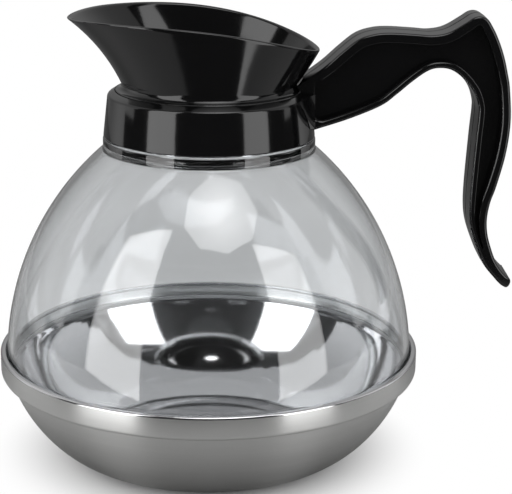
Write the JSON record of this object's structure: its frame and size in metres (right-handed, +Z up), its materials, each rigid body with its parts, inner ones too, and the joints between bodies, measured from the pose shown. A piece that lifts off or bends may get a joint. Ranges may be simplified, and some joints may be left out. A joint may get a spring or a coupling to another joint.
{
  "type": "coffee carafe",
  "caption": "Coffee carafe with a clear domed body on a spun steel base, a black collar and hooked grip handle, and a lift-out flared pouring funnel.",
  "frame": {"origin": "on the carafe's axis, in the plane of the flat underside that it stands on", "axes": "+Z up along the axis, +X towards the handle, -X towards the spout"},
  "size_m": [0.2069, 0.17, 0.1814],
  "materials": {
    "base_bowl": "brushed outside, polished inside",
    "rim_band": "satin with a polished top edge",
    "base_gasket": "moulded silicone",
    "dome": "clear polycarbonate",
    "clamp_strap": "rolled strip",
    "clamp_screw": "plain",
    "clamp_nut": "plain",
    "collar": "gloss moulded",
    "handle": "gloss moulded",
    "funnel": "gloss moulded",
    "funnel_seal": "moulded silicone"
  },
  "bodies": {
    "carafe": {"base_bowl": "base_bowl", "rim_band": "rim_band", "base_gasket": "base_gasket", "dome": "dome", "clamp_strap": "clamp_strap", "clamp_screw": "clamp_screw", "clamp_nut": "clamp_nut", "collar": "collar", "handle": "handle"},
    "pouring_funnel": {"funnel": "funnel", "funnel_seal": "funnel_seal"}
  },
  "joints": [
    {"name": "funnel_lift", "type": "slide", "parent": "carafe", "child": "pouring_funnel", "axis": [0, 0, 1], "range_m": [0, 0.04]}
  ]
}
